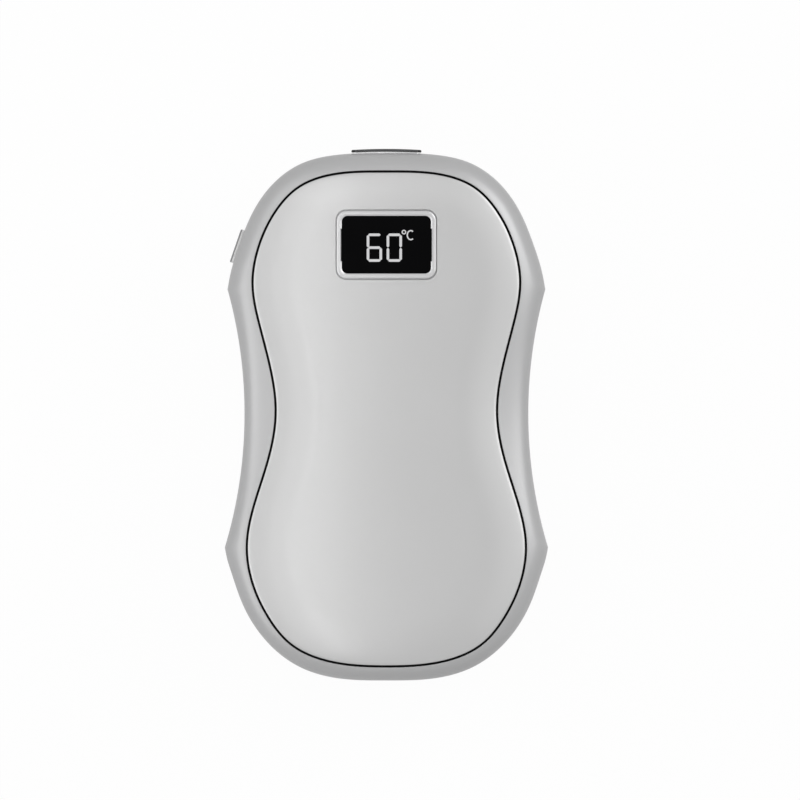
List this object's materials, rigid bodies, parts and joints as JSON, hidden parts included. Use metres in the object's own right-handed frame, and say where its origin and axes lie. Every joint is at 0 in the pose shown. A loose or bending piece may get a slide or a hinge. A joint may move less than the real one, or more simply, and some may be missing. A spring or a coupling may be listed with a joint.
{
  "type": "rechargeable hand warmer",
  "caption": "Waisted pocket hand warmer with heat plates on both faces, a temperature window, a side push button and a hinged port cover.",
  "frame": {"origin": "Middle of the bounding box's underside, on the rear plate's flat face.", "axes": "+Z is out of the front face, +Y runs along the length towards the charging port, +X is to the viewer's right."},
  "size_m": [0.0662, 0.1088, 0.026],
  "materials": {
    "satin_housing": "satin silver paint on moulded plastic",
    "satin_plate": "satin silver pressed plate",
    "bright_trim": "bright silver paint on moulded plastic",
    "black_window": "black glossy window",
    "dark_cover": "dark grey cover",
    "black_gasket": "black foam rubber",
    "grey_foam": "soft grey foam",
    "heating_film": "amber film",
    "cell_wrap": null,
    "nickel": "nickel",
    "steel": "plain steel",
    "tray_plastic": "dark moulded plastic",
    "component_black": "black moulded component",
    "connector_cream": "cream moulded plastic",
    "circuit_board": "green circuit board",
    "lead_red": "red insulation",
    "lead_black": "black insulation",
    "lead_white": "white insulation"
  },
  "bodies": {
    "housing": {"front_frame": "satin_housing", "rear_frame": "satin_housing", "front_heat_plate": "satin_plate", "rear_heat_plate": "satin_plate", "display_bezel": "bright_trim", "port_collar": "bright_trim", "display_window": "black_window", "front_plate_gasket": "black_gasket", "rear_plate_gasket": "black_gasket", "front_foam_pad": "grey_foam", "rear_foam_pad": "grey_foam", "front_heater_film": "heating_film", "rear_heater_film": "heating_film", "display_ribbon": "heating_film", "front_thermistor": "heating_film", "rear_thermistor": "heating_film", "left_cell": "cell_wrap", "right_cell": "cell_wrap", "positive_strip": "nickel", "negative_strip": "nickel", "usb_c_shell": "steel", "port_hinge_pin": "steel", "filter_capacitor": "steel", "housing_screw_1": "steel", "housing_screw_2": "steel", "housing_screw_3": "steel", "housing_screw_4": "steel", "housing_screw_5": "steel", "housing_screw_6": "steel", "cell_tray": "tray_plastic", "display_bracket": "tray_plastic", "controller_chip": "component_black", "charger_chip": "component_black", "power_inductor": "component_black", "display_module": "component_black", "usb_c_tongue": "component_black", "switch_housing": "component_black", "battery_connector": "connector_cream", "front_heater_connector": "connector_cream", "rear_heater_connector": "connector_cream", "main_board": "circuit_board", "protection_board": "circuit_board", "battery_lead_positive": "lead_red", "battery_lead_negative": "lead_black", "front_heater_lead": "lead_white", "rear_heater_lead": "lead_white"},
    "power_button": {"power_button": "bright_trim", "switch_plunger": "component_black"},
    "port_cover": {"port_cover": "dark_cover"}
  },
  "joints": [
    {"name": "power_button_slide", "type": "slide", "parent": "housing", "child": "power_button", "axis": [0.9451, -0.3269, 0], "range_m": [0, 0.0005], "stiffness_N_per_m": 2000},
    {"name": "port_cover_hinge", "type": "hinge", "parent": "housing", "child": "port_cover", "pos_m": [0, 0.05332, 0.0091], "axis": [-1, 0, 0], "range_deg": [0, 110]}
  ]
}
